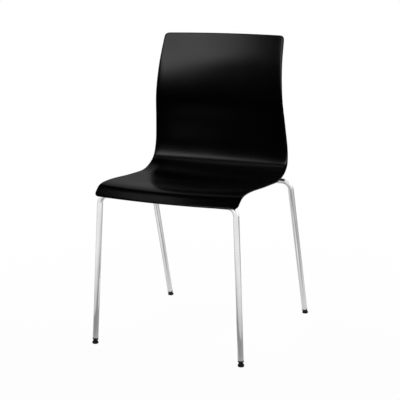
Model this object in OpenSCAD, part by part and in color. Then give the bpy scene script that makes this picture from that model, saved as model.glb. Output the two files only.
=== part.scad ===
// Choir chair: a one-piece moulded shell on two bent-tube leg frames.
// The chair faces -Y and stands on z = 0, with the middle of its outline over the origin.

/* [Seat shell] */
// Height of the back's top edge above the floor
overall_h = 828; // [800:4:860]
// Height of the seat's rim above the floor, at its highest behind the front roll
seat_h = 448; // [435:1:460]
// Depth of the seat's rim, from the front lip to the rear of the bend
seat_d = 365; // [350:1:380]
// Width of the seat at its widest
seat_w = 416; // [400:2:424]
// Width of the back at its top edge
back_w = 364; // [340:2:390]
// How far the front lip drops below the seat's rim
lip_drop = 28; // [24:1:34]
// How far the front lip bows forward in its middle
lip_bow = 13; // [8:1:18]
// How far the seat's middle is dished below its rim
seat_dish = 12; // [4:1:16]
// How far the back's middle is hollowed behind its rim
back_hollow = 18; // [8:1:26]
// How far the top edge rises in its middle
top_crown = 1.5; // [0:0.5:6]
// Fore-and-aft depth of the back's S curve, from the lumbar bulge to the top edge
back_sweep = 39; // [30:1:46]
// Wall of the moulded shell
shell_wall = 5; // [4:0.5:6]
// Radius of the two front corners
front_corner_r = 9; // [6:1:20]
// Radius of the two top corners
top_corner_r = 10; // [8:1:20]

/* [Frames] */
// Outside diameter of the leg tube
tube_d = 16; // [14:0.5:18]
// Wall of the leg tube
tube_wall = 1.5; // [1.2:0.1:2]
// Centre-line radius of the tube's bends
bend_r = 24; // [20:1:28]
// Distance between the front feet, centre to centre
front_track = 432; // [410:2:450]
// Distance between the rear feet, centre to centre
rear_track = 446; // [430:2:460]
// Distance between the front legs' centre lines at the cross tube
front_top_w = 391; // [380:1:400]
// Distance between the rear legs' centre lines at the cross tube
rear_top_w = 436; // [430:1:450]
// How far the front cross tube's axis lies behind the lip at the rim
front_tube_inset = 16; // [14:0.5:22]
// How far the rear cross tube's axis lies in front of the bend's rearmost rim
rear_tube_inset = 8; // [4:0.5:12]
// How far the front legs lean back on their way up
front_lean = 7.5; // [0:0.5:12]
// How far the rear legs rake back on their way down
rear_rake = 142; // [120:1:160]

/* [Seat rails] */
// Distance between the two rails, centre to centre
rail_spacing = 220; // [180:2:250]
// Width of a rail's flat bar
rail_w = 25; // [22:1:30]
// Thickness of a rail's flat bar
rail_t = 3; // [2.5:0.5:4]
// How far the front seat screws lie behind the front cross tube
front_screw_inset = 78; // [60:1:110]
// How far the rear seat screws lie in front of the rear cross tube
rear_screw_inset = 61; // [45:1:90]

/* [Seat screws] */
// Thread diameter of the seat screws
screw_d = 6; // [5:1:6]
// Outside diameter of the moulded bosses
boss_d = 22; // [18:1:24]
// Outside diameter of the threaded inserts
insert_d = 9; // [8:0.5:10]
// Length of the threaded inserts
insert_l = 8; // [6:0.5:9]
// Diameter of the screw heads
head_d = 11; // [10:0.5:12]
// Height of the screw heads
head_h = 4; // [3:0.5:5]
// Outside diameter of the washers
washer_d = 15; // [13:0.5:17]
// Thickness of the washers
washer_t = 1.4; // [1:0.2:2]

/* [Saddles] */
// Distance between the two saddles on the front cross tube
front_saddle_spacing = 120; // [100:2:150]
// Distance between the two saddles on the rear cross tube
rear_saddle_spacing = 120; // [100:2:150]
// Length of a saddle along the tube
saddle_l = 24; // [18:1:30]
// Wall of a saddle's clip
saddle_wall = 2.2; // [1.8:0.1:2.6]

/* [Feet] */
// Diameter of a foot at the floor
foot_d = 17.5; // [16:0.5:20]
// Height of a foot's bell
bell_h = 9; // [7:0.5:11]
// Diameter of a foot's neck
neck_d = 12.5; // [10:0.5:14]
// Length of leg that a foot stands proud of the tube's end
foot_l = 17; // [15:0.5:20]
// Thickness of a foot's collar under the tube's end
collar_t = 4; // [3:0.5:5]
// Length of the spigot inside the tube
spigot_l = 18; // [12:1:25]

/* [Fits] */
// Radial clearance of a spigot in its tube and of an insert in its boss
plug_clear = 0.1; // [0.05:0.05:0.2]
// Gap between a welded or clipped piece and the tube it hugs
seat_clear = 0.1; // [0.05:0.05:0.3]
// Radial clearance of a screw in its washer and in its rail
screw_clear = 0.5; // [0.3:0.1:0.7]
// Least gap between the front cross tube and the shell's underside
front_tube_gap = 1; // [0.5:0.5:3]
// Least gap between the rear cross tube and the shell's underside
rear_tube_gap = 10.5; // [8:0.5:14]
// Gap between a saddle's pad and the shell's underside
pad_clear = 0.3; // [0.2:0.1:0.6]

/* [Hidden] */

// Colours
shell_colour = [0.03, 0.03, 0.03];
chrome_colour = [0.78, 0.79, 0.80];
moulding_colour = [0.06, 0.06, 0.06];
zinc_colour = [0.60, 0.61, 0.62];
brass_colour = [0.78, 0.62, 0.30];

round_fn = 48;
tube_r = tube_d / 2;
bore_r = tube_r - tube_wall;
cut_over = tube_wall;

// The chair's middle: from the lip's foremost point to the back of the rear feet
front_tube_y0 = lip_bow + front_tube_inset;
rear_tube_y0 = lip_bow + seat_d - rear_tube_inset;
overall_d = rear_tube_y0 + rear_rake + foot_d / 2;
lip_y = lip_bow - overall_d / 2;
front_tube_y = front_tube_y0 - overall_d / 2;
rear_tube_y = rear_tube_y0 - overall_d / 2;
front_foot_y = front_tube_y - front_lean;
rear_foot_y = rear_tube_y + rear_rake;

// Seat shell: stations of the rim, from the lip to the top edge.
// Seat rows hold the share of the seat's depth, of the lip's drop, and of the widest half width.
seat_rim_shares = [
    [0.000, -1.00, 0.985],
    [0.020, -0.76, 0.990],
    [0.083, -0.18, 0.994],
    [0.218, 0.00, 0.989],
    [0.589, -0.23, 0.991],
    [0.838, -0.17, 1.000],
];
// Back rows hold the share of the S curve's depth behind the bend, of the back's rise, and of the
// taper from the widest half width to the top one.
back_rim_shares = [
    [-0.26, 0.054, 0.00],
    [0.03, 0.153, 0.10],
    [-0.16, 0.348, 0.33],
    [-0.44, 0.547, 0.55],
    [-0.20, 0.773, 0.79],
    [0.56, 1.000, 1.00],
];
// How far the middle lies off the rim at each station: shares of the lip's bow forward, of the
// seat's dish downward, of the back's hollow rearward and of the top edge's crown upward.
middle_shares = [
    [1.0, 0.10, 0.00, 0.0],
    [1.0, 0.11, 0.00, 0.0],
    [1.0, 0.16, 0.00, 0.0],
    [0.8, 0.40, 0.00, 0.0],
    [0.1, 0.95, 0.10, 0.0],
    [0.0, 0.98, 0.48, 0.0],
    [0.0, 0.32, 0.65, 0.0],
    [0.0, 0.43, 0.78, 0.0],
    [0.0, 0.00, 0.97, 0.0],
    [0.0, 0.00, 0.92, 0.0],
    [0.0, 0.00, 0.95, 0.2],
    [0.0, 0.00, 1.00, 1.0],
];

back_h = overall_h - seat_h;
half_w = seat_w / 2;
half_top_w = back_w / 2;
edge_r = shell_wall * 0.4;
bend_y = lip_y + seat_d;
rim_points = concat(
    [for (s = seat_rim_shares) [s[2] * half_w - edge_r, lip_y + s[0] * seat_d, seat_h + s[1] * lip_drop]],
    [for (s = back_rim_shares)
        [half_w + s[2] * (half_top_w - half_w) - edge_r, bend_y + s[0] * back_sweep,
            seat_h + s[1] * (back_h - top_crown - edge_r / 2)]]
);
middle_points = [for (i = [0 : len(rim_points) - 1])
    rim_points[i] + [0, middle_shares[i][2] * back_hollow - middle_shares[i][0] * lip_bow,
        middle_shares[i][3] * top_crown - middle_shares[i][1] * seat_dish]];

// A smooth curve through points p, each span as long in the parameter as it is far in space
function knots(p, i = 0, k = 0) = i == len(p) - 1 ? [k]
    : concat([k], knots(p, i + 1, k + sqrt(norm(p[i + 1] - p[i]))));
function blend(a, b, ka, kb, k) = ((kb - k) * a + (k - ka) * b) / (kb - ka);
function ends(p) = concat([2 * p[0] - p[1]], p, [2 * p[len(p) - 1] - p[len(p) - 2]]);
function span(q, n, i, f) =
    let (
        k = n[i + 1] + f * (n[i + 2] - n[i + 1]),
        a1 = blend(q[i], q[i + 1], n[i], n[i + 1], k),
        a2 = blend(q[i + 1], q[i + 2], n[i + 1], n[i + 2], k),
        a3 = blend(q[i + 2], q[i + 3], n[i + 2], n[i + 3], k),
        b1 = blend(a1, a2, n[i], n[i + 2], k),
        b2 = blend(a2, a3, n[i + 1], n[i + 3], k)
    ) blend(b1, b2, n[i + 1], n[i + 2], k);
rim_ends = ends(rim_points);
rim_knots = knots(rim_ends);
middle_ends = ends(middle_points);
last_span = len(rim_points) - 2;
function curve(q, t) = let (i = max(0, min(floor(t), last_span))) span(q, rim_knots, i, t - i);

// Point of the sitter's surface: t runs along the stations, x across the width
function skin(t, x) =
    let (r = curve(rim_ends, t), m = curve(middle_ends, t), u = x / r[0])
    [x, m[1] + (r[1] - m[1]) * u * u, m[2] + (r[2] - m[2]) * u * u];
// Direction through the wall there, away from the sitter
probe_t = 0.02;
function unit(a) = a / norm(a);
function through(t, x) =
    let (probe_x = half_w * probe_t)
    unit(cross(skin(t + probe_t, x) - skin(t - probe_t, x), skin(t, x + probe_x) - skin(t, x - probe_x)));

// Length along the rim against t, to space the rows evenly
span_steps = 12;
fine_t = [for (i = [0 : (last_span + 1) * span_steps]) i / span_steps];
fine_rim = [for (t = fine_t) curve(rim_ends, t)];
function steps(p) = [for (i = 1, s = 0; i <= len(p); s = s + (i < len(p) ? norm(p[i] - p[i - 1]) : 0), i = i + 1) s];
rim_length = steps(fine_rim);
rim_total = rim_length[len(rim_length) - 1];
length_to_t = [for (i = [0 : len(fine_t) - 1]) [rim_length[i], fine_t[i]]];
t_to_length = [for (i = [0 : len(fine_t) - 1]) [fine_t[i], rim_length[i]]];

// Rows of the shell: close together round the corners, then in even steps of t, which lie closer
// where the stations do, at the lip and in the bend
corner_steps = 5;
row_count = 54;
column_count = 20;
front_rows = [for (i = [0 : corner_steps]) lookup(front_corner_r * (1 - cos(90 * i / corner_steps)), length_to_t)];
top_rows = [for (i = [0 : corner_steps])
    lookup(rim_total - top_corner_r * (1 - sin(90 * i / corner_steps)), length_to_t)];
rows_start = front_rows[corner_steps];
rows_span = top_rows[0] - rows_start;
rows = concat(front_rows, [for (i = [1 : row_count - 1]) rows_start + rows_span * i / row_count], top_rows);
function inset(s, r) = s >= r ? 0 : r - sqrt(max(0, r * r - (r - s) * (r - s)));
function row_w(t) =
    let (s = lookup(t, t_to_length))
    curve(rim_ends, t)[0] - inset(s, front_corner_r) - inset(rim_total - s, top_corner_r);
places = [for (t = rows) let (w = row_w(t))
    [for (j = [0 : column_count]) [t, w * (2 * j / column_count - 1)]]];
grid = [for (row = places) [for (p = row) skin(p[0], p[1])]];
normals = [for (row = places) [for (p = row) through(p[0], p[1])]];
nr = len(grid) - 1;
nc = column_count;

// The rim of the grid as one loop of row and column numbers
loop = concat(
    [for (j = [0 : nc]) [0, j]],
    [for (i = [1 : nr]) [i, nc]],
    [for (j = [1 : nc]) [nr, nc - j]],
    [for (i = [1 : nr - 1]) [nr - i, 0]]
);
nl = len(loop);
function at(g, ij) = g[ij[0]][ij[1]];
function rim_out(k) =
    let (
        along = at(grid, loop[(k + 1) % nl]) - at(grid, loop[(k + nl - 1) % nl]),
        n = at(normals, loop[k])
    ) unit(cross(n, along));
function rim_point(k) =
    at(grid, loop[k]) + at(normals, loop[k]) * shell_wall / 2 + rim_out(k) * edge_r;

module shell_skin() {
    inner = [for (i = [0 : nr]) for (j = [0 : nc]) grid[i][j]];
    outer = [for (i = [0 : nr]) for (j = [0 : nc]) grid[i][j] + normals[i][j] * shell_wall];
    edge = [for (k = [0 : nl - 1]) rim_point(k)];
    n0 = len(inner);
    n1 = 2 * n0;
    function id(i, j) = i * (nc + 1) + j;
    function lid(k) = id(loop[k % nl][0], loop[k % nl][1]);
    polyhedron(
        points = concat(inner, outer, edge),
        faces = concat(
            [for (i = [0 : nr - 1]) for (j = [0 : nc - 1]) [id(i, j), id(i + 1, j + 1), id(i, j + 1)]],
            [for (i = [0 : nr - 1]) for (j = [0 : nc - 1]) [id(i, j), id(i + 1, j), id(i + 1, j + 1)]],
            [for (i = [0 : nr - 1]) for (j = [0 : nc - 1])
                [n0 + id(i, j), n0 + id(i, j + 1), n0 + id(i + 1, j + 1)]],
            [for (i = [0 : nr - 1]) for (j = [0 : nc - 1])
                [n0 + id(i, j), n0 + id(i + 1, j + 1), n0 + id(i + 1, j)]],
            [for (k = [0 : nl - 1]) [lid(k), n1 + (k + 1) % nl, n1 + k]],
            [for (k = [0 : nl - 1]) [lid(k), lid(k + 1), n1 + (k + 1) % nl]],
            [for (k = [0 : nl - 1]) [n1 + k, n0 + lid(k + 1), n0 + lid(k)]],
            [for (k = [0 : nl - 1]) [n1 + k, n1 + (k + 1) % nl, n0 + lid(k + 1)]]
        ),
        convexity = 6
    );
}

// The shell's underside along a fore-and-aft line at x, as places and heights
seat_t = [for (i = [span_steps : 7 * span_steps]) i / span_steps];
function under_line(x) = [for (t = seat_t) let (p = skin(t, x) + through(t, x) * shell_wall) [p[1], p[2]]];
function under_z(x, y) = lookup(y, under_line(x));

// Height of a cross tube's axis at y: as high as leaves the tube gap all along its straight run
tube_probes = 8;
function tube_rest(y, half_run, gap) = min([for (i = [0 : tube_probes])
    let (line = under_line(half_run * i / tube_probes), r = tube_r + gap)
    for (a = [-90 : 180 / tube_probes : 90]) lookup(y + r * sin(a), line) - r * cos(a)]);
front_tube_z = tube_rest(front_tube_y, front_top_w / 2 - bend_r, front_tube_gap);
rear_tube_z = tube_rest(rear_tube_y, rear_top_w / 2 - bend_r, rear_tube_gap);

// Rails: their own frame lies in the bars' top faces and starts under the front cross tube's axis.
// A bar butts against the front tube from behind, and passes under the rear tube.
front_drop = tube_r * 0.5;
rear_drop = tube_r + seat_clear;
axes_run = norm([rear_tube_y - front_tube_y, rear_tube_z - front_tube_z]);
rail_run = sqrt(axes_run * axes_run - (rear_drop - front_drop) * (rear_drop - front_drop));
rail_tilt = atan2(rear_tube_z - front_tube_z, rear_tube_y - front_tube_y) - asin((rear_drop - front_drop) / axes_run);
rail_x = rail_spacing / 2;
rail_start = tube_r * 0.6;
rail_end = tube_r * 1.6;
cradle_h = tube_r * 0.45;
cradle_l = tube_r * 2.3;
screw_ys = [front_screw_inset, rail_run - rear_screw_inset];
screw_places = [for (x = [-rail_x, rail_x]) for (y = screw_ys) [x, y]];
module rail_frame() {
    translate([0, front_tube_y, front_tube_z]) rotate([rail_tilt, 0, 0]) translate([0, 0, -front_drop]) children();
}
// Height of the shell's underside over a place of the rails' frame
function under(p) =
    let (
        y = front_tube_y + front_drop * sin(rail_tilt) + p[1] * cos(rail_tilt),
        z = front_tube_z - front_drop * cos(rail_tilt) + p[1] * sin(rail_tilt)
    ) under_z(p[0], y) - z;

boss_bury = shell_wall * 0.45;
boss_bore_l = insert_l + plug_clear * 5;
module bosses() {
    rail_frame() for (p = screw_places)
        translate([p[0], p[1], 0]) cylinder(d = boss_d, h = under(p) + boss_bury, $fn = round_fn);
}
module boss_bores() {
    rail_frame() for (p = screw_places)
        translate([p[0], p[1], -cut_over])
            cylinder(d = insert_d + 2 * plug_clear, h = boss_bore_l + cut_over, $fn = round_fn);
}

module seat_shell() {
    color(shell_colour) difference() {
        union() {
            shell_skin();
            bosses();
        }
        boss_bores();
    }
}

// A leg frame: an upside-down U of one bent tube, in a plane that leans by its offset.
// The tube draws in a little at its bends, and each straight run laps over the bend's end.
bend_draw = tube_wall / 10;
bend_lap = tube_wall / 5;
function frame_rise(offset, z) = norm([offset, z]);
function frame_splay(track, top_w, rise) = atan2((track - top_w) / 2, rise);
module tube_half(track, top_w, rise, r, end) {
    splay = frame_splay(track, top_w, rise);
    tangent = bend_r * tan((90 - splay) / 2);
    leg = norm([(track - top_w) / 2, rise]) - tangent - end;
    centre_x = top_w / 2 - tangent;
    translate([centre_x, 0, rise - bend_r]) {
        rotate([90, 0, 0]) rotate([0, 0, splay]) rotate_extrude(angle = 90 - splay, $fn = 2 * round_fn)
            translate([bend_r, 0]) circle(r = r - bend_draw, $fn = round_fn);
        translate([bend_r * cos(splay), 0, bend_r * sin(splay)]) rotate([0, -splay, 0])
            translate([0, 0, -leg]) cylinder(r = r, h = leg + bend_lap, $fn = round_fn);
    }
}
module tube_whole(track, top_w, rise, r, end) {
    cross_l = top_w - 2 * bend_r * tan((90 - frame_splay(track, top_w, rise)) / 2) + 2 * bend_lap;
    tube_half(track, top_w, rise, r, end);
    mirror([1, 0, 0]) tube_half(track, top_w, rise, r, end);
    translate([0, 0, rise]) rotate([0, 90, 0]) cylinder(r = r, h = cross_l, center = true, $fn = round_fn);
}
module leg_frame(y, offset, z, track, top_w) {
    rise = frame_rise(offset, z);
    color(chrome_colour) translate([0, y, 0]) rotate([-atan2(offset, z), 0, 0]) difference() {
        tube_whole(track, top_w, rise, tube_r, foot_l);
        tube_whole(track, top_w, rise, bore_r, foot_l - cut_over);
    }
}
module front_frame() {
    leg_frame(front_foot_y, front_lean, front_tube_z, front_track, front_top_w);
}
module rear_frame() {
    leg_frame(rear_foot_y, -rear_rake, rear_tube_z, rear_track, rear_top_w);
}

// A rail: a flat bar, hollowed at its front end to the front tube, with a cradle for the rear tube
module tube_bed() {
    rotate([0, 90, 0]) cylinder(r = tube_r + seat_clear, h = 2 * rail_w, center = true, $fn = round_fn);
}
module rail_bar() {
    l = rail_run + rail_end - rail_start;
    r = rail_w / 4;
    translate([0, rail_start, -rail_t]) linear_extrude(rail_t) difference() {
        union() {
            translate([-rail_w / 2, 0]) square([rail_w, l - r]);
            translate([r - rail_w / 2, 0]) square([rail_w - 2 * r, l]);
            for (x = [-1, 1]) translate([x * (rail_w / 2 - r), l - r]) circle(r = r, $fn = round_fn);
        }
        for (y = screw_ys) translate([0, y - rail_start])
            circle(d = screw_d + 2 * screw_clear, $fn = round_fn);
    }
}
module rail_cradle() {
    difference() {
        translate([-rail_w / 2, -cradle_l / 2, 0]) cube([rail_w, cradle_l, cradle_h]);
        translate([0, 0, rear_drop]) tube_bed();
    }
}
module rail(side) {
    color(chrome_colour) rail_frame() translate([side * rail_x, 0, 0]) {
        difference() {
            rail_bar();
            translate([0, 0, front_drop]) tube_bed();
        }
        translate([0, rail_run, 0]) rail_cradle();
    }
}
module left_rail() {
    rail(-1);
}
module right_rail() {
    rail(1);
}

// Fasteners: brass inserts in the bosses, screws and washers from below
module threaded_inserts() {
    color(brass_colour) rail_frame() for (p = screw_places) translate([p[0], p[1], 0]) difference() {
        cylinder(d = insert_d, h = insert_l, $fn = round_fn);
        translate([0, 0, -cut_over]) cylinder(d = screw_d + plug_clear, h = insert_l + 2 * cut_over, $fn = round_fn);
    }
}
module seat_washers() {
    color(zinc_colour) rail_frame() for (p = screw_places)
        translate([p[0], p[1], -rail_t - washer_t]) difference() {
            cylinder(d = washer_d, h = washer_t, $fn = round_fn);
            translate([0, 0, -cut_over])
                cylinder(d = screw_d + 2 * screw_clear, h = washer_t + 2 * cut_over, $fn = round_fn);
        }
}
module seat_screws() {
    shank = washer_t + rail_t + insert_l;
    drive_d = head_d * 0.42;
    drive_h = head_h * 0.6;
    color(zinc_colour) rail_frame() for (p = screw_places)
        translate([p[0], p[1], -rail_t - washer_t]) {
            cylinder(d = screw_d - plug_clear, h = shank, $fn = round_fn);
            translate([0, 0, -head_h]) difference() {
                cylinder(d1 = head_d * 0.8, d2 = head_d, h = head_h, $fn = round_fn);
                translate([0, 0, -cut_over]) cylinder(d = drive_d, h = drive_h + cut_over, $fn = 6);
            }
        }
}

// A saddle: a clip round the cross tube with a pad that carries the shell
module saddle(x, y, z) {
    clip_r = tube_r + saddle_wall;
    pad_w = tube_r * 1.5;
    low = min([for (dx = [-0.5, 0, 0.5]) let (line = under_line(x + dx * saddle_l))
        for (dy = [-0.5 : 0.25 : 0.5]) lookup(y + dy * pad_w, line)]);
    pad_top = low - pad_clear - z;
    color(moulding_colour) translate([x, y, z]) difference() {
        union() {
            rotate([0, 90, 0]) cylinder(r = clip_r, h = saddle_l, center = true, $fn = round_fn);
            translate([-saddle_l / 2, -pad_w / 2, 0]) cube([saddle_l, pad_w, pad_top]);
        }
        rotate([0, 90, 0]) cylinder(r = tube_r + seat_clear, h = 2 * saddle_l, center = true, $fn = round_fn);
        translate([-saddle_l, -clip_r, -2 * clip_r]) cube([2 * saddle_l, 2 * clip_r, 2 * clip_r - tube_r * 0.3]);
    }
}
module front_left_saddle() {
    saddle(-front_saddle_spacing / 2, front_tube_y, front_tube_z);
}
module front_right_saddle() {
    saddle(front_saddle_spacing / 2, front_tube_y, front_tube_z);
}
module rear_left_saddle() {
    saddle(-rear_saddle_spacing / 2, rear_tube_y, rear_tube_z);
}
module rear_right_saddle() {
    saddle(rear_saddle_spacing / 2, rear_tube_y, rear_tube_z);
}

// A foot: spigot, collar and neck on the leg's line, on a bell that stands square to the floor
module bell() {
    r = foot_d / 2;
    lip_r = r * 0.3;
    dome_r = neck_d / 2;
    rotate_extrude($fn = round_fn) polygon(concat(
        [[0, 0]],
        [for (a = [-90 : 15 : 0]) [r - lip_r + lip_r * cos(a), lip_r + lip_r * sin(a)]],
        [for (a = [15 : 15 : 90]) [dome_r * 0.6 + (r - dome_r * 0.6) * cos(a), lip_r + (bell_h - lip_r) * sin(a)]],
        [[0, bell_h]]
    ));
}
module foot(side, y, offset, z, track, top_w) {
    rise = frame_rise(offset, z);
    splay = frame_splay(track, top_w, rise);
    color(moulding_colour) translate([side * track / 2, y, 0]) {
        bell();
        rotate([-atan2(offset, z), 0, 0]) rotate([0, -side * splay, 0]) {
            translate([0, 0, bell_h * 0.5]) cylinder(d = neck_d, h = foot_l - bell_h * 0.5, $fn = round_fn);
            translate([0, 0, foot_l - collar_t]) cylinder(r = tube_r, h = collar_t, $fn = round_fn);
            translate([0, 0, foot_l]) cylinder(r = bore_r - plug_clear, h = spigot_l, $fn = round_fn);
        }
    }
}
module front_foot(side) {
    foot(side, front_foot_y, front_lean, front_tube_z, front_track, front_top_w);
}
module rear_foot(side) {
    foot(side, rear_foot_y, -rear_rake, rear_tube_z, rear_track, rear_top_w);
}
module front_left_foot() {
    front_foot(-1);
}
module front_right_foot() {
    front_foot(1);
}
module rear_left_foot() {
    rear_foot(-1);
}
module rear_right_foot() {
    rear_foot(1);
}

seat_shell();
front_frame();
rear_frame();
left_rail();
right_rail();
threaded_inserts();
seat_screws();
seat_washers();
front_left_saddle();
front_right_saddle();
rear_left_saddle();
rear_right_saddle();
front_left_foot();
front_right_foot();
rear_left_foot();
rear_right_foot();
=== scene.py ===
import math

import bpy
import bmesh
from mathutils import Matrix, Vector


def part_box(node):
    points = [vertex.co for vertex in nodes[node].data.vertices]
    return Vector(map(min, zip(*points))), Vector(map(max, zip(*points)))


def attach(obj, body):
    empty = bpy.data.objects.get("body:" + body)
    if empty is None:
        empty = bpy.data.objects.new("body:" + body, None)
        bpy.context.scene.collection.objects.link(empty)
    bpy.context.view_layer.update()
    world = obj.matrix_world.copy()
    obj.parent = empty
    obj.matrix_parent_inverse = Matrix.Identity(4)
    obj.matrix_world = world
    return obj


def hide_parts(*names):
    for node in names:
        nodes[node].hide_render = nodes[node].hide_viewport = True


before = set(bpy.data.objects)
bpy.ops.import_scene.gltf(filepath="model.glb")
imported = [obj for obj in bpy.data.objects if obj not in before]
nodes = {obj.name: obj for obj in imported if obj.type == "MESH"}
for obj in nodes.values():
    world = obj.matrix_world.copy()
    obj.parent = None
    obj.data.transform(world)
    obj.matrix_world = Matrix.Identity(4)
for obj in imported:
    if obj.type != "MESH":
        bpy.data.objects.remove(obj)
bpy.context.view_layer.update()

# Leg frames: two upside-down U's of 16 mm steel tube, bent cold and plated in bright chrome.
# The front one stands almost upright and the rear one rakes back. The CAD tubes are kept, and
# get the plating: a mirror with faint lines from drawing and polishing, and a slow waviness.
TUBE_R = 0.008
CROSS_TUBE_BELOW_TOP = 0.030
DRAWN_OUT = 0.012
LINES_SCALE = 2600
WAVES_SCALE = 90
HAZE_SCALE = 22
HAZE_FROM, HAZE_TO = 0.42, 0.70
WAVES_SHARE = 0.9
LINES_SHARE = 0.4
LINES_ROUGHEN = 0.04
CHROME_PALE = (0.90, 0.905, 0.915)
CHROME_DULL = (0.80, 0.805, 0.815)
CHROME_RELIEF = 0.00035
# Sockets of a vector Mix node, which share their names with those for other kinds of value
MIX_FIRST, MIX_SECOND, MIX_RESULT = 4, 5, 1


def select_only(obj):
    if bpy.context.object and bpy.context.object.mode != "OBJECT":
        bpy.ops.object.mode_set(mode="OBJECT")
    bpy.ops.object.select_all(action="DESELECT")
    obj.select_set(True)
    bpy.context.view_layer.objects.active = obj


def finish(name, roughness, metallic=0.0, specular=0.5):
    """A new material; its shader holds what is the same all over, and a middling roughness."""
    made = bpy.data.materials.new(name)
    made.use_nodes = True
    shader = made.node_tree.nodes["Principled BSDF"]
    shader.inputs["Roughness"].default_value = roughness
    shader.inputs["Metallic"].default_value = metallic
    shader.inputs["Specular IOR Level"].default_value = specular
    return made, made.node_tree, shader


def add(tree, kind, **settings):
    node = tree.nodes.new(kind)
    for key, value in settings.items():
        setattr(node, key, value)
    return node


def wire(tree, source, target):
    """Feeds a socket from another node's output, or with a plain number."""
    if isinstance(source, (int, float)):
        target.default_value = source
    else:
        tree.links.new(source, target)


def object_place(tree):
    """The Object coordinates, which stay with the piece."""
    return add(tree, "ShaderNodeTexCoord").outputs["Object"]


def split_up(tree, vector):
    """The three parts of a vector."""
    node = add(tree, "ShaderNodeSeparateXYZ")
    wire(tree, vector, node.inputs[0])
    return node.outputs["X"], node.outputs["Y"], node.outputs["Z"]


def reckon(tree, operation, *values):
    """One step of arithmetic on sockets and numbers."""
    node = add(tree, "ShaderNodeMath", operation=operation)
    for socket, value in zip(node.inputs, values):
        wire(tree, value, socket)
    return node.outputs[0]


def mixture(tree, first, share, second):
    """That share of the first, and the rest of the second."""
    rest = reckon(tree, "MULTIPLY", second, 1 - share)
    return reckon(tree, "MULTIPLY_ADD", first, share, rest)


def spread(tree, value, low, high, to_low, to_high):
    """Value from low..high onto to_low..to_high, and no further."""
    node = add(tree, "ShaderNodeMapRange")
    numbers = (("From Min", low), ("From Max", high), ("To Min", to_low), ("To Max", to_high))
    for name, number in numbers:
        wire(tree, number, node.inputs[name])
    wire(tree, value, node.inputs["Value"])
    return node.outputs["Result"]


def shades(tree, value, first, second):
    """A colour from first to second, as value goes from 0 to 1."""
    ramp = add(tree, "ShaderNodeValToRGB")
    ramp.color_ramp.elements[0].color = (*first, 1)
    ramp.color_ramp.elements[1].color = (*second, 1)
    wire(tree, value, ramp.inputs["Fac"])
    return ramp.outputs["Color"]


def speckle(tree, vector, scale, detail):
    noise = add(tree, "ShaderNodeTexNoise")
    wire(tree, vector, noise.inputs["Vector"])
    wire(tree, scale, noise.inputs["Scale"])
    wire(tree, detail, noise.inputs["Detail"])
    return noise.outputs["Fac"]


def stretched(tree, vector, scale, turn=(0, 0, 0)):
    """The vector turned, then drawn out by scale, for a grain that runs along a bar or a tube."""
    turned = add(tree, "ShaderNodeMapping")
    turned.inputs["Rotation"].default_value = turn
    wire(tree, vector, turned.inputs["Vector"])
    drawn = add(tree, "ShaderNodeMapping")
    drawn.inputs["Scale"].default_value = scale
    wire(tree, turned.outputs[0], drawn.inputs["Vector"])
    return drawn.outputs[0]


def relief(tree, shader, height, depth):
    """A bump that stands depth metres proud where height is 1."""
    bump = add(tree, "ShaderNodeBump")
    bump.inputs["Strength"].default_value = 1.0
    bump.inputs["Distance"].default_value = depth
    wire(tree, height, bump.inputs["Height"])
    wire(tree, bump.outputs["Normal"], shader.inputs["Normal"])


def group(name, inputs):
    """A node group that turns its inputs into a tone, a roughness and a height."""
    made = bpy.data.node_groups.new(name, "ShaderNodeTree")
    for label, kind in inputs:
        made.interface.new_socket(label, in_out="INPUT", socket_type=kind)
    for label in ("Tone", "Roughness", "Height"):
        made.interface.new_socket(label, in_out="OUTPUT", socket_type="NodeSocketFloat")
    return made, add(made, "NodeGroupInput"), add(made, "NodeGroupOutput")


def place_group(tree, made, **values):
    """The group in a material; an underscore in a value's name stands for a space."""
    node = add(tree, "ShaderNodeGroup", node_tree=made)
    for label, value in values.items():
        wire(tree, value, node.inputs[label.replace("_", " ")])
    return node


def lay_on(tree, shader, effect, first, second, depth):
    """A placed group's tone, roughness and height, wired to the shader."""
    wire(tree, shades(tree, effect.outputs["Tone"], first, second), shader.inputs["Base Color"])
    wire(tree, effect.outputs["Roughness"], shader.inputs["Roughness"])
    relief(tree, shader, effect.outputs["Height"], depth)


def dress(obj, material):
    obj.data.materials.clear()
    obj.data.materials.append(material)


# Polished, plated steel: fine lines along the bar, a slow waviness, and hazy patches in the shine
polished_steel, given, result = group("polished_steel", [
    ("Along", "NodeSocketVector"),
    ("Around", "NodeSocketVector"),
    ("Roughness", "NodeSocketFloat"),
    ("Haze", "NodeSocketFloat"),
])
tree = polished_steel
lines = speckle(tree, given.outputs["Along"], LINES_SCALE, 3)
waves = speckle(tree, given.outputs["Along"], WAVES_SCALE, 1)
haze = speckle(tree, given.outputs["Around"], HAZE_SCALE, 4)
haze = spread(tree, haze, HAZE_FROM, HAZE_TO, 0, 1)
hazed = reckon(tree, "MULTIPLY_ADD", haze, given.outputs["Haze"], given.outputs["Roughness"])
lined = reckon(tree, "MULTIPLY_ADD", lines, LINES_ROUGHEN, hazed)
wire(tree, mixture(tree, lines, LINES_SHARE, haze), result.inputs["Tone"])
wire(tree, lined, result.inputs["Roughness"])
wire(tree, mixture(tree, waves, WAVES_SHARE, lines), result.inputs["Height"])


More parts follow.
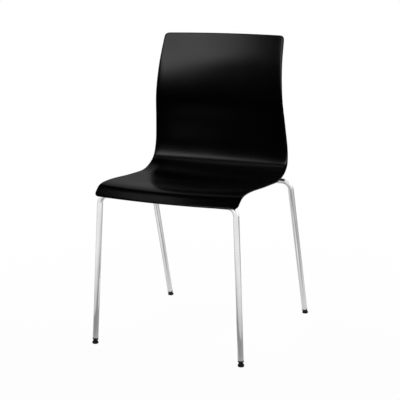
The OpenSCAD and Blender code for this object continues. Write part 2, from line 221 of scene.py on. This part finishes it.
def chrome_finish(name, rake, top):
    """Chrome with its lines up the raked legs, and across on the cross tube."""
    made, tree, shader = finish(name, 0.08, metallic=1.0)
    here = object_place(tree)
    up_the_leg = stretched(tree, here, (1, 1, DRAWN_OUT), (-rake, 0, 0))
    across = stretched(tree, here, (DRAWN_OUT, 1, 1))
    _, _, height = split_up(tree, here)
    which = add(tree, "ShaderNodeMix", data_type="VECTOR")
    bend_low, bend_high = top - CROSS_TUBE_BELOW_TOP, top - CROSS_TUBE_BELOW_TOP / 2
    wire(tree, spread(tree, height, bend_low, bend_high, 0, 1), which.inputs["Factor"])
    wire(tree, up_the_leg, which.inputs[MIX_FIRST])
    wire(tree, across, which.inputs[MIX_SECOND])
    along = which.outputs[MIX_RESULT]
    plating = place_group(tree, polished_steel, Along=along, Around=here, Roughness=0.06, Haze=0.05)
    lay_on(tree, shader, plating, CHROME_PALE, CHROME_DULL, CHROME_RELIEF)
    return made


cross_tubes = {}
for tube, way in (("front", -1), ("rear", 1)):
    low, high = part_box(tube + "_frame")
    lean = way * math.atan2(high.y - low.y - 2 * TUBE_R, high.z - low.z - TUBE_R)
    dress(nodes[tube + "_frame"], chrome_finish(tube + "_chrome", lean, high.z))
    axis_y = low.y + TUBE_R if tube == "rear" else high.y - TUBE_R
    cross_tubes[tube] = Vector((0, axis_y, high.z - TUBE_R))

# Seat rails: two flat steel bars, butted to the front cross tube from behind and laid under the
# rear one in a welded-on cradle, and chromed in one with the frames. The bars are the CAD ones;
# the eight weld beads, which the CAD leaves out, are laid in the corners between bar and tube.
BAR_PALE = (0.86, 0.865, 0.875)
BAR_DULL = (0.72, 0.725, 0.735)
BAR_RELIEF = 0.00025
bar_chrome, tree, shader = finish("bar_chrome", 0.12, metallic=1.0)
here = object_place(tree)
along = stretched(tree, here, (1, DRAWN_OUT, 1))
plating = place_group(tree, polished_steel, Along=along, Around=here, Roughness=0.10, Haze=0.08)
lay_on(tree, shader, plating, BAR_PALE, BAR_DULL, BAR_RELIEF)
for name in ("left_rail", "right_rail"):
    dress(nodes[name], bar_chrome)

BEAD_R = 0.0021
BEAD_RIPPLES = 14
BEAD_L_SHARE = 0.88
RIPPLE_SHARE = 0.88
BEAD_END_SHARE = 0.55
# Place of each bead from the tube's axis, rearward and up in tube radii, and its share of BEAD_R
BEADS = {
    "front": (("over", 0.96, -0.50, 1.0), ("under", 0.58, -0.90, 0.6)),
    "rear": (("fore", -0.96, -0.50, 1.0), ("aft", 0.96, -0.50, 1.0)),
}
WELD_DULL = (0.60, 0.60, 0.61)
WELD_PALE = (0.82, 0.825, 0.835)
WELD_RELIEF = 0.0003
weld_chrome, tree, shader = finish("weld_chrome", 0.2, metallic=1.0)
here = object_place(tree)
ripples = add(tree, "ShaderNodeTexWave", wave_type="BANDS", bands_direction="X", wave_profile="SIN")
ripples.inputs["Scale"].default_value = 130
ripples.inputs["Distortion"].default_value = 2.5
wire(tree, here, ripples.inputs["Vector"])
plating = place_group(tree, polished_steel, Along=here, Around=here, Roughness=0.16, Haze=0.10)
wire(tree, shades(tree, ripples.outputs["Fac"], WELD_DULL, WELD_PALE), shader.inputs["Base Color"])
wire(tree, plating.outputs["Roughness"], shader.inputs["Roughness"])
relief(tree, shader, ripples.outputs["Fac"], WELD_RELIEF)

rail_low, rail_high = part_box("right_rail")
rail_x = (rail_high.x + rail_low.x) / 2
bead_l = (rail_high.x - rail_low.x) * BEAD_L_SHARE
bpy.ops.object.select_all(action="DESELECT")
bpy.ops.mesh.primitive_cylinder_add(
    vertices=20, radius=BEAD_R, depth=bead_l, end_fill_type="NGON", rotation=(0, math.pi / 2, 0),
)
bead = bpy.context.object
bpy.ops.object.transform_apply(rotation=True)
bpy.ops.object.mode_set(mode="EDIT")
for ripple in range(1, 2 * BEAD_RIPPLES):
    cut_x = (ripple / BEAD_RIPPLES - 1) * bead_l / 2
    bpy.ops.mesh.select_all(action="SELECT")
    bpy.ops.mesh.bisect(plane_co=(cut_x, 0, 0), plane_no=(1, 0, 0))
    if ripple % 2:
        bpy.ops.transform.resize(value=(1, RIPPLE_SHARE, RIPPLE_SHARE))
for side in (-1, 1):
    mesh = bmesh.from_edit_mesh(bead.data)
    for face in mesh.faces:
        face.select = face.normal.x * side > 0.9
    mesh.select_flush_mode()
    bmesh.update_edit_mesh(bead.data)
    bpy.ops.transform.resize(value=(1, BEAD_END_SHARE, BEAD_END_SHARE))
bpy.ops.mesh.select_all(action="SELECT")
bpy.ops.mesh.normals_make_consistent(inside=False)
bpy.ops.object.mode_set(mode="OBJECT")
bpy.ops.object.shade_smooth_by_angle(angle=math.radians(40))
dress(bead, weld_chrome)
for tube, axis in cross_tubes.items():
    for side, side_name in ((-1, "left"), (1, "right")):
        for edge, rearward, up, share in BEADS[tube]:
            laid = bead.copy()
            laid.data = bead.data.copy()
            laid.name = f"weld_{tube}_{side_name}_{edge}"
            bpy.context.scene.collection.objects.link(laid)
            select_only(laid)
            laid.location = axis + Vector((side * rail_x, rearward * TUBE_R, up * TUBE_R))
            laid.scale = (1, share, share)
            bpy.ops.object.transform_apply(location=True, scale=True)
            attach(laid, "root")
bpy.data.objects.remove(bead)

# Feet: black polyethylene plugs, one pushed into each leg. The moulding has a fine grain, a
# slightly uneven shine, and a paler scuffed ring where it meets the floor.
PITS_SHARE = 0.6
FINE_SHARE = 0.5
FINE_ROUGHENS = 0.03
FLOW_SCALE = 7
FLOW_FROM, FLOW_TO = 0.35, 0.65
FLOW_ROUGHENS = 0.02
moulded_grain, given, result = group("moulded_grain", [
    ("Vector", "NodeSocketVector"),
    ("Grain", "NodeSocketFloat"),
    ("Roughness", "NodeSocketFloat"),
])
tree = moulded_grain
pits = add(tree, "ShaderNodeTexVoronoi", feature="SMOOTH_F1")
wire(tree, given.outputs["Vector"], pits.inputs["Vector"])
wire(tree, given.outputs["Grain"], pits.inputs["Scale"])
fine = speckle(tree, given.outputs["Vector"], given.outputs["Grain"], 3)
flow = speckle(tree, given.outputs["Vector"], FLOW_SCALE, 3)
uneven = spread(tree, flow, FLOW_FROM, FLOW_TO, -FLOW_ROUGHENS, FLOW_ROUGHENS)
uneven = reckon(tree, "ADD", uneven, given.outputs["Roughness"])
grained = reckon(tree, "MULTIPLY_ADD", fine, FINE_ROUGHENS, uneven)
wire(tree, mixture(tree, fine, FINE_SHARE, flow), result.inputs["Tone"])
wire(tree, grained, result.inputs["Roughness"])
wire(tree, mixture(tree, pits.outputs["Distance"], PITS_SHARE, fine), result.inputs["Height"])

FOOT_BLACK = (0.003, 0.003, 0.003)
FOOT_SCUFFED = (0.03, 0.03, 0.03)
SCUFF_LOW, SCUFF_HIGH = 0.0005, 0.0025
SCUFF_ROUGHENS = 0.2
SCRATCH_SCALE = 700
SCRATCH_FROM, SCRATCH_TO = 0.4, 0.65
GRAIN_PALES = 0.3
FOOT_RELIEF = 0.00004
foot_black, tree, shader = finish("foot_black", 0.45, specular=0.3)
here = object_place(tree)
grain = place_group(tree, moulded_grain, Vector=here, Grain=1500, Roughness=0.42)
_, _, height = split_up(tree, here)
near_floor = spread(tree, height, SCUFF_LOW, SCUFF_HIGH, 1, 0)
scratches = speckle(tree, here, SCRATCH_SCALE, 4)
scratches = spread(tree, scratches, SCRATCH_FROM, SCRATCH_TO, 0, 1)
scuffed = reckon(tree, "MULTIPLY", near_floor, scratches)
grain_pale = reckon(tree, "MULTIPLY", grain.outputs["Tone"], GRAIN_PALES)
paleness = reckon(tree, "MAXIMUM", grain_pale, scuffed)
wire(tree, shades(tree, paleness, FOOT_BLACK, FOOT_SCUFFED), shader.inputs["Base Color"])
rubbed = reckon(tree, "MULTIPLY_ADD", scuffed, SCUFF_ROUGHENS, grain.outputs["Roughness"])
wire(tree, rubbed, shader.inputs["Roughness"])
relief(tree, shader, grain.outputs["Height"], FOOT_RELIEF)
for name in nodes:
    if name.endswith("_foot"):
        dress(nodes[name], foot_black)

# Saddles: four nylon clips snapped round the cross tubes from above, whose flat pads take the
# shell's weight off the chrome. Plain black mouldings with the same grain, a shade duller.
SADDLE_BLACK = (0.004, 0.004, 0.004)
SADDLE_PALE = (0.012, 0.012, 0.0115)
SADDLE_RELIEF = 0.00006
saddle_nylon, tree, shader = finish("saddle_nylon", 0.5, specular=0.3)
grain = place_group(tree, moulded_grain, Vector=object_place(tree), Grain=1100, Roughness=0.48)
lay_on(tree, shader, grain, SADDLE_BLACK, SADDLE_PALE, SADDLE_RELIEF)
for name in nodes:
    if name.endswith("_saddle"):
        dress(nodes[name], saddle_nylon)

# Seat shell: seat and back moulded in one from black polypropylene, 5 mm thick, with a rounded
# rim that carries the mould's parting line, and a satin face with a faint spark-eroded grain.
# Its sitter's side is the CAD skin's; the wall and the rim are given again, and smoothed.
SHELL_WALL = 0.005
RIM_BULGE = 0.0024
RIM_CUTS = 2
SAME_POINT = 0.00002
SAME_SKIN = math.radians(42)
SEAT_MIDDLE = Vector((0.0, -0.03, 0.43))
SHELL_BLACK = (0.0004, 0.0004, 0.0004)
SHELL_PALE = (0.0010, 0.0010, 0.0011)
SHELL_RELIEF = 0.00003
# The parting line's half width, full and faded, as shares of the rim, and its rise in grains
PARTING_FULL_SHARE, PARTING_FADED_SHARE = 0.02, 0.06
PARTING_RISE = 4.0
PARTING_ROUGHENS = 0.12


def pick_face(obj, place, facing):
    """Selects the one face nearest to place whose normal points about the same way as facing."""
    mesh = bmesh.from_edit_mesh(obj.data)
    near = min(
        (face for face in mesh.faces if face.normal.dot(Vector(facing)) > 0.6),
        key=lambda face: (face.calc_center_median() - place).length,
    )
    bpy.ops.mesh.select_all(action="DESELECT")
    near.select_set(True)
    mesh.faces.active = near
    bmesh.update_edit_mesh(obj.data)


shell = nodes["seat_shell"].copy()
shell.data = nodes["seat_shell"].data.copy()
shell.name = "moulded_shell"
shell.parent = None
for key in list(shell.keys()):
    del shell[key]
bpy.context.scene.collection.objects.link(shell)
select_only(shell)
bpy.ops.mesh.customdata_custom_splitnormals_clear()
bpy.ops.object.mode_set(mode="EDIT")
bpy.ops.mesh.select_mode(type="FACE")
bpy.ops.mesh.select_all(action="SELECT")
bpy.ops.mesh.remove_doubles(threshold=SAME_POINT)
pick_face(shell, SEAT_MIDDLE, (0, 0, 1))
bpy.ops.mesh.faces_select_linked_flat(sharpness=SAME_SKIN)
bpy.ops.mesh.select_all(action="INVERT")
bpy.ops.mesh.delete(type="FACE")
bpy.ops.mesh.select_all(action="SELECT")
bpy.ops.mesh.tris_convert_to_quads(face_threshold=math.pi, shape_threshold=math.pi)
bpy.ops.object.mode_set(mode="OBJECT")
skin_verts = len(shell.data.vertices)
wall = shell.modifiers.new("wall", "SOLIDIFY")
wall.thickness = SHELL_WALL
wall.offset = -1
wall.use_even_offset = True
bpy.ops.object.modifier_apply(modifier=wall.name)
wall_verts = len(shell.data.vertices) - skin_verts
through = shell.data.attributes.new("through_wall", "FLOAT", "POINT")
through.data.foreach_set("value", [0.0] * skin_verts + [1.0] * wall_verts)
bpy.ops.object.mode_set(mode="EDIT")
bpy.ops.mesh.select_mode(type="EDGE")
mesh = bmesh.from_edit_mesh(shell.data)
for edge in mesh.edges:
    edge.select = (edge.verts[0].index < skin_verts) != (edge.verts[1].index < skin_verts)
bmesh.update_edit_mesh(shell.data)
bpy.ops.mesh.subdivide(number_cuts=RIM_CUTS)
bpy.ops.mesh.select_mode(type="VERT")
mesh = bmesh.from_edit_mesh(shell.data)
depth = mesh.verts.layers.float["through_wall"]
for vert in mesh.verts:
    vert.select = 0.1 < vert[depth] < 0.9
mesh.select_flush_mode()
bmesh.update_edit_mesh(shell.data)
bpy.ops.transform.shrink_fatten(value=RIM_BULGE)
bpy.ops.object.mode_set(mode="OBJECT")
smooth = shell.modifiers.new("smooth", "SUBSURF")
smooth.levels = smooth.render_levels = 2
bpy.ops.object.modifier_apply(modifier=smooth.name)
bpy.ops.object.shade_smooth()

shell_black, tree, shader = finish("shell_black", 0.24)
grain = place_group(tree, moulded_grain, Vector=object_place(tree), Grain=1300, Roughness=0.22)
across_rim = add(tree, "ShaderNodeAttribute", attribute_name="through_wall").outputs["Fac"]
from_middle = reckon(tree, "ABSOLUTE", reckon(tree, "SUBTRACT", across_rim, 0.5))
parting = spread(tree, from_middle, PARTING_FULL_SHARE, PARTING_FADED_SHARE, 1, 0)
wire(tree, shades(tree, grain.outputs["Tone"], SHELL_BLACK, SHELL_PALE), shader.inputs["Base Color"])
rubbed = reckon(tree, "MULTIPLY_ADD", parting, PARTING_ROUGHENS, grain.outputs["Roughness"])
wire(tree, rubbed, shader.inputs["Roughness"])
raised = reckon(tree, "MULTIPLY_ADD", parting, PARTING_RISE, grain.outputs["Height"])
relief(tree, shader, raised, SHELL_RELIEF)
dress(shell, shell_black)

# Screw bosses: four blind posts moulded on the shell's underside, flared into it, each with a
# bore for its threaded insert. Each stands on its insert's place and is joined to the shell.
BOSS_R = 0.011
BOSS_BORE_R = 0.0046
BOSS_BORE_DEPTH = 0.0085
BOSS_CHAMFER = 0.0006
# Rise past the shell's skin, and share of BOSS_R there
BOSS_FLARE = ((-0.0030, 1.00), (-0.0012, 1.06), (0.0004, 1.20), (0.0020, 1.42))


def insert_place(side, rear):
    """The middle of one threaded insert's lower end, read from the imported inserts."""
    low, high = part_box("threaded_inserts")
    middle_y = (low.y + high.y) / 2
    points = [vert.co for vert in nodes["threaded_inserts"].data.vertices]
    ring = [p for p in points if p.x * side > 0 and (p.y > middle_y) == rear]
    return Vector((
        (min(p.x for p in ring) + max(p.x for p in ring)) / 2,
        (min(p.y for p in ring) + max(p.y for p in ring)) / 2,
        min(p.z for p in ring),
    ))


bosses = []
for side in (-1, 1):
    for rear in (False, True):
        foot = insert_place(side, rear)
        _, under, _, _ = shell.ray_cast(foot, Vector((0, 0, 1)))
        post = under.z - foot.z
        wide, level = BOSS_R - BOSS_CHAMFER, 0.0
        bpy.ops.object.select_all(action="DESELECT")
        bpy.ops.mesh.primitive_circle_add(vertices=48, radius=wide, fill_type="NGON", location=foot)
        boss = bpy.context.object
        bpy.ops.object.transform_apply(location=True)
        bpy.ops.object.mode_set(mode="EDIT")
        bpy.ops.mesh.select_mode(type="FACE")
        bpy.ops.mesh.select_all(action="SELECT")
        for rise, share in [(BOSS_CHAMFER, 1.0)] + [(post + step, share) for step, share in BOSS_FLARE]:
            bpy.ops.mesh.extrude_region_move(TRANSFORM_OT_translate={"value": (0, 0, rise - level)})
            widening = BOSS_R * share / wide
            bpy.ops.transform.resize(value=(widening, widening, 1), center_override=foot)
            wide, level = BOSS_R * share, rise
        bpy.ops.mesh.select_all(action="SELECT")
        bpy.ops.mesh.normals_make_consistent(inside=False)
        pick_face(boss, foot, (0, 0, -1))
        bpy.ops.mesh.inset(thickness=BOSS_R - BOSS_CHAMFER - BOSS_BORE_R, use_even_offset=False)
        bpy.ops.mesh.extrude_region_move(TRANSFORM_OT_translate={"value": (0, 0, BOSS_BORE_DEPTH)})
        bpy.ops.mesh.select_all(action="SELECT")
        bpy.ops.mesh.normals_make_consistent(inside=False)
        bpy.ops.object.mode_set(mode="OBJECT")
        bpy.ops.object.shade_smooth_by_angle(angle=math.radians(35))
        dress(boss, shell_black)
        bosses.append(boss)
select_only(shell)
for boss in bosses:
    boss.select_set(True)
bpy.ops.object.join()
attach(shell, "root")
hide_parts("seat_shell")

# Threaded inserts: brass sleeves pressed hot into the bosses, knurled outside so that the
# plastic grips them. The CAD sleeves are kept and get turned brass with a crossed knurl.
KNURLS = 30
KNURL_PITCH = 0.0009
RINGS_SHARE = 0.3
STAIN_SCALE = 300
STAIN_ROUGHENS = 0.15
BRASS_PALE = (0.80, 0.58, 0.24)
BRASS_DULL = (0.55, 0.38, 0.15)
BRASS_RELIEF = 0.00008
turned_metal, given, result = group("turned_metal", [
    ("From Axis", "NodeSocketVector"),
    ("Ring Scale", "NodeSocketFloat"),
    ("Roughness", "NodeSocketFloat"),
])
tree = turned_metal
rings = add(tree, "ShaderNodeTexWave", wave_type="RINGS", rings_direction="Z", wave_profile="SIN")
rings.inputs["Distortion"].default_value = 1.2
rings.inputs["Detail"].default_value = 2
wire(tree, given.outputs["From Axis"], rings.inputs["Vector"])
wire(tree, given.outputs["Ring Scale"], rings.inputs["Scale"])
stain = speckle(tree, given.outputs["From Axis"], STAIN_SCALE, 4)
stained = reckon(tree, "MULTIPLY_ADD", stain, STAIN_ROUGHENS, given.outputs["Roughness"])
wire(tree, mixture(tree, rings.outputs["Fac"], RINGS_SHARE, stain), result.inputs["Tone"])
wire(tree, stained, result.inputs["Roughness"])
wire(tree, rings.outputs["Fac"], result.inputs["Height"])

insert_x = abs(insert_place(1, True).x)
front_y = insert_place(1, False).y
rear_y = insert_place(1, True).y


def about_each_axis(tree):
    """Object coordinates folded so that all four screw axes become one, at x = y = 0."""
    along_x, along_y, z = split_up(tree, object_place(tree))
    x = reckon(tree, "SUBTRACT", reckon(tree, "ABSOLUTE", along_x), insert_x)
    from_middle = reckon(tree, "ABSOLUTE", reckon(tree, "SUBTRACT", along_y, (front_y + rear_y) / 2))
    y = reckon(tree, "SUBTRACT", from_middle, (rear_y - front_y) / 2)
    folded = add(tree, "ShaderNodeCombineXYZ")
    for socket, value in zip(folded.inputs, (x, y, z)):
        wire(tree, value, socket)
    return folded.outputs[0], x, y, z


brass, tree, shader = finish("turned_brass", 0.3, metallic=1.0)
folded, x, y, z = about_each_axis(tree)
turned = place_group(tree, turned_metal, From_Axis=folded, Ring_Scale=900, Roughness=0.22)
round_it = reckon(tree, "MULTIPLY", reckon(tree, "ARCTAN2", y, x), KNURLS)
climb = reckon(tree, "MULTIPLY", z, 2 * math.pi / KNURL_PITCH)
right_hand = reckon(tree, "SINE", reckon(tree, "ADD", round_it, climb))
left_hand = reckon(tree, "SINE", reckon(tree, "SUBTRACT", round_it, climb))
knurl = reckon(tree, "MULTIPLY", right_hand, left_hand)
wire(tree, shades(tree, turned.outputs["Tone"], BRASS_PALE, BRASS_DULL), shader.inputs["Base Color"])
wire(tree, turned.outputs["Roughness"], shader.inputs["Roughness"])
relief(tree, shader, reckon(tree, "ADD", knurl, turned.outputs["Height"]), BRASS_RELIEF)
dress(nodes["threaded_inserts"], brass)

# Seat screws and washers: four zinc-plated socket screws, each over a pressed washer, turned up
# from below through the rails into the inserts. Plated steel: rings from turning, pale stains.
ZINC_PALE = (0.72, 0.73, 0.75)
ZINC_DULL = (0.48, 0.49, 0.51)
ZINC_RELIEF = 0.00004
zinc, tree, shader = finish("bright_zinc", 0.3, metallic=1.0)
folded = about_each_axis(tree)[0]
turned = place_group(tree, turned_metal, From_Axis=folded, Ring_Scale=700, Roughness=0.20)
lay_on(tree, shader, turned, ZINC_PALE, ZINC_DULL, ZINC_RELIEF)
for name in ("seat_screws", "seat_washers"):
    dress(nodes[name], zinc)

# Studio floor: a paper sheet that the camera sees white, with the chair's faint shadow. What the
# chair mirrors of it has painted shadow in front of the feet, painted shade between the legs and
# to the chair's right, and painted glow between these, giving the rear legs dark and light stripes.
FLOOR_R = 5.0
FLOOR_SHADE_GREY, FLOOR_PALE = 0.26, 0.88
SHADE_GREY_Y, PALE_Y = -0.35, -0.05
DIM_FROM_R, DIM_TO_R = 0.5, 1.0
DIM_SHARE = 0.5
PAINTED_SHADE_SHARE = 0.5
# Each zone's outer and inner edge, and again on its other side
BETWEEN_LEGS_X = (-0.20, -0.12, 0.02, 0.08)
ON_THE_RIGHT_X = (0.26, 0.32)
STRIPES_Y = (-0.30, -0.20, 0.14, 0.24)
PAINTED_GLOW_Y = (-0.22, -0.12, 0.02, 0.12)
PAINTED_GLOW_SHARE = 0.5
MIRRORED_GLOW = 0.12
SHADOW_R, CLEAR_R = 0.35, 1.3
WHITE_IN_SHADOW = 0.97
bpy.ops.object.select_all(action="DESELECT")
bpy.ops.mesh.primitive_circle_add(vertices=96, radius=FLOOR_R, fill_type="NGON")
floor = bpy.context.object
floor.name = "studio_floor"
paper = bpy.data.materials.new("white_paper")
paper.use_nodes = True
tree = paper.node_tree
tree.nodes.clear()
result = add(tree, "ShaderNodeOutputMaterial")
mix = add(tree, "ShaderNodeMixShader")
sheet = add(tree, "ShaderNodeBsdfDiffuse")
glow = add(tree, "ShaderNodeEmission")
path = add(tree, "ShaderNodeLightPath")


def ground_plan(tree):
    """Place on the floor: to the right, rearward, and the reach from the chair's middle."""
    here = object_place(tree)
    rightward, rearward, _ = split_up(tree, here)
    reach = add(tree, "ShaderNodeVectorMath", operation="LENGTH")
    wire(tree, here, reach.inputs[0])
    return rightward, rearward, reach.outputs["Value"]


def zone(tree, place, outer_low, inner_low, inner_high, outer_high):
    """1 from inner_low to inner_high, falling to 0 at the outer edges."""
    rising = spread(tree, place, outer_low, inner_low, 0, 1)
    return reckon(tree, "MINIMUM", rising, spread(tree, place, inner_high, outer_high, 1, 0))


rightward, rearward, reach = ground_plan(tree)
# Painted shade: zones between the legs and to the chair's right, darker in what the chrome mirrors
painted_shade = zone(tree, rightward, *BETWEEN_LEGS_X)
painted_shade = reckon(tree, "MAXIMUM", painted_shade, spread(tree, rightward, *ON_THE_RIGHT_X, 0, 1))
painted_shade = reckon(tree, "MULTIPLY", painted_shade, zone(tree, rearward, *STRIPES_Y))
# Painted shadow: grey in front of the feet, pale behind them, and dimmed further from the chair
dimmed = spread(tree, reach, DIM_FROM_R, DIM_TO_R, 1, DIM_SHARE)
paleness = spread(tree, rearward, SHADE_GREY_Y, PALE_Y, FLOOR_SHADE_GREY, FLOOR_PALE)
paleness = reckon(tree, "MULTIPLY", paleness, dimmed)
paleness = reckon(tree, "MULTIPLY", paleness, spread(tree, painted_shade, 0, 1, 1, PAINTED_SHADE_SHARE))
wire(tree, shades(tree, paleness, (0, 0, 0), (1, 1, 1)), sheet.inputs["Color"])
seen = reckon(tree, "MAXIMUM", path.outputs["Is Camera Ray"], path.outputs["Is Transmission Ray"])
seen = reckon(tree, "MULTIPLY", seen, spread(tree, reach, SHADOW_R, CLEAR_R, WHITE_IN_SHADOW, 1))
# Painted light: a band across the floor under the seat glows for mirrors only, less in the painted
# shade zones
painted_glow = zone(tree, rearward, *PAINTED_GLOW_Y)
painted_glow = reckon(tree, "MULTIPLY", painted_glow, spread(tree, painted_shade, 0, 1, PAINTED_GLOW_SHARE, 0))
glow_share = reckon(tree, "ADD", painted_glow, MIRRORED_GLOW)
mirrored = reckon(tree, "MULTIPLY", path.outputs["Is Glossy Ray"], glow_share)
wire(tree, reckon(tree, "MAXIMUM", seen, mirrored), mix.inputs["Fac"])
wire(tree, sheet.outputs[0], mix.inputs[1])
wire(tree, glow.outputs[0], mix.inputs[2])
wire(tree, mix.outputs[0], result.inputs["Surface"])
dress(floor, paper)

# Tent and floor card: a glowing cloth round and over the set and a glowing card on the floor in
# front, which the camera doesn't see: painted reflections that no lamp lights. They are linked to
# the plated steel, which mirrors them white. The black shell mirrors them black, as behind flags.
TENT_R = FLOOR_R - 0.1
CARD_R = FLOOR_R - 0.2
CARD_UP = 0.003
CARD_REAR_Y = 0.3
BARE_R = 0.6
TENT_GLOW = 0.85
CARD_NEAR_GLOW, CARD_FAR_GLOW = 0.55, 0.90
CARD_FAR_R = 1.3
# Azimuths between which the card dims on each side, a painted shade in the chrome, and the share of its
# glow that is left there
RIGHT_DIMS, RIGHT_SHARE = (math.radians(95), math.radians(130)), 0.45
LEFT_DIMS, LEFT_SHARE = (math.radians(-110), math.radians(-60)), 0.8
plated = bpy.data.collections.new("plated_steel")
for name in ("front_frame", "rear_frame", "left_rail", "right_rail"):
    plated.objects.link(nodes[name])


def only_mirrored(card, cloth):
    """Leaves a card to the mirror of the plated steel alone."""
    card.visible_camera = card.visible_diffuse = card.visible_shadow = False
    card.visible_transmission = card.visible_volume_scatter = False
    card.light_linking.receiver_collection = plated
    dress(card, cloth)


def glowing(name):
    """A material that only gives light, and its light."""
    made = bpy.data.materials.new(name)
    made.use_nodes = True
    tree = made.node_tree
    tree.nodes.clear()
    glow = add(tree, "ShaderNodeEmission")
    wire(tree, glow.outputs[0], add(tree, "ShaderNodeOutputMaterial").inputs["Surface"])
    return made, tree, glow


tent_mirror_glow, _, glow = glowing("tent_mirror_glow")
glow.inputs["Strength"].default_value = TENT_GLOW
bpy.ops.object.select_all(action="DESELECT")
bpy.ops.mesh.primitive_uv_sphere_add(segments=48, ring_count=24, radius=TENT_R)
tent = bpy.context.object
tent.name = "white_tent"
bpy.ops.object.mode_set(mode="EDIT")
bpy.ops.mesh.select_all(action="SELECT")
bpy.ops.mesh.bisect(plane_co=(0, 0, 0), plane_no=(0, 0, 1), clear_inner=True)
bpy.ops.object.mode_set(mode="OBJECT")
only_mirrored(tent, tent_mirror_glow)

card_mirror_glow, tree, glow = glowing("card_mirror_glow")
rightward, rearward, reach = ground_plan(tree)
azimuth = reckon(tree, "ARCTAN2", rightward, reckon(tree, "MULTIPLY", rearward, -1.0))
# Painted shade: the card glows less near the chair and on its sides
strength = spread(tree, reach, BARE_R, CARD_FAR_R, CARD_NEAR_GLOW, CARD_FAR_GLOW)
on_right = spread(tree, azimuth, *RIGHT_DIMS, 1, RIGHT_SHARE)
on_left = spread(tree, azimuth, *LEFT_DIMS, LEFT_SHARE, 1)
for share in (on_right, on_left):
    strength = reckon(tree, "MULTIPLY", strength, share)
wire(tree, strength, glow.inputs["Strength"])
bpy.ops.object.select_all(action="DESELECT")
bpy.ops.mesh.primitive_circle_add(
    vertices=96, radius=CARD_R, fill_type="NGON", location=(0, 0, CARD_UP),
)
floor_card = bpy.context.object
floor_card.name = "floor_card"
bpy.ops.object.transform_apply(location=True)
bpy.ops.object.mode_set(mode="EDIT")
bpy.ops.mesh.select_all(action="SELECT")
bpy.ops.mesh.inset(thickness=CARD_R - BARE_R, use_even_offset=False)
bpy.ops.mesh.delete(type="FACE")
bpy.ops.mesh.select_all(action="SELECT")
bpy.ops.mesh.bisect(plane_co=(0, CARD_REAR_Y, 0), plane_no=(0, 1, 0), clear_outer=True)
bpy.ops.object.mode_set(mode="OBJECT")
only_mirrored(floor_card, card_mirror_glow)

# World: white wherever the camera or a mirror sees it, and a plain pale room for its light
ROOM_GREY = 0.6
world = bpy.data.worlds.new("studio")
bpy.context.scene.world = world
world.use_nodes = True
tree = world.node_tree
tree.nodes.clear()
result = add(tree, "ShaderNodeOutputWorld")
white = add(tree, "ShaderNodeBackground")
white.inputs["Color"].default_value = (1, 1, 1, 1)
room = add(tree, "ShaderNodeBackground")
room.inputs["Color"].default_value = (ROOM_GREY, ROOM_GREY, ROOM_GREY, 1)
mix = add(tree, "ShaderNodeMixShader")
path = add(tree, "ShaderNodeLightPath")
seen = reckon(tree, "MAXIMUM", path.outputs["Is Camera Ray"], path.outputs["Is Glossy Ray"])
seen = reckon(tree, "MAXIMUM", seen, path.outputs["Is Transmission Ray"])
wire(tree, seen, mix.inputs["Fac"])
wire(tree, room.outputs[0], mix.inputs[1])
wire(tree, white.outputs[0], mix.inputs[2])
wire(tree, mix.outputs[0], result.inputs["Surface"])

# Lamps: six soft boxes, all at one distance from a point just over the seat. The back mirrors
# the long tilted one in front, and the seat mirrors the tall one behind on the left. The small
# high one on the left touches the lip, and the others let the sides and the rear be read.
LAMP_DISTANCE = 2.3
LAMP_AIM = Vector((0, 0, 0.55))
# Name, azimuth to the right and rise in degrees, width and height in metres, watts, and roll
SOFT_BOXES = (
    ("front_soft_box", -10, 28, 0.75, 2.2, 9.4, 34),
    ("left_soft_box", -68, 58, 0.5, 0.5, 0.35, 0),
    ("left_side_box", -85, 16, 0.8, 0.8, 3.0, 0),
    ("rear_left_box", -150, 26, 1.3, 2.2, 1.55, 0),
    ("right_side_box", 105, 18, 1.6, 1.4, 9.0, 0),
    ("rear_right_box", 155, 36, 1.3, 1.4, 4.0, 0),
)


def toward(azimuth, rise):
    """The direction from the chair, by azimuth from straight in front and rise, in radians."""
    level = math.cos(rise)
    return Vector((math.sin(azimuth) * level, -math.cos(azimuth) * level, math.sin(rise)))


for name, azimuth, rise, wide, tall, watts, roll in SOFT_BOXES:
    away = toward(math.radians(azimuth), math.radians(rise))
    lamp = bpy.data.lights.new(name, "AREA")
    lamp.shape = "RECTANGLE"
    lamp.size = wide
    lamp.size_y = tall
    lamp.energy = watts
    box = bpy.data.objects.new(name, lamp)
    box.location = LAMP_AIM + away * LAMP_DISTANCE
    facing = (-away).to_track_quat("-Z", "Y").to_matrix()
    box.rotation_euler = (facing @ Matrix.Rotation(math.radians(roll), 3, "Z")).to_euler()
    bpy.context.scene.collection.objects.link(box)

# Camera: as the photograph was taken, a long lens a little above the seat, front-right of it
CAMERA_AZIMUTH = math.radians(24.301)
CAMERA_RISE = math.radians(12.178)
CAMERA_DISTANCE = 3.00505
CAMERA_TARGET = Vector((0, -0.0184, 0.3789))
CAMERA_LENS = 97.35
CAMERA_SENSOR = 36
away = toward(CAMERA_AZIMUTH, CAMERA_RISE)
lens = bpy.data.cameras.new("camera")
lens.sensor_width = CAMERA_SENSOR
lens.lens = CAMERA_LENS
camera = bpy.data.objects.new("camera", lens)
camera.location = CAMERA_TARGET + away * CAMERA_DISTANCE
camera.rotation_euler = (-away).to_track_quat("-Z", "Y").to_euler()
bpy.context.scene.collection.objects.link(camera)
bpy.context.scene.camera = camera
bpy.context.scene.view_settings.view_transform = "Standard"
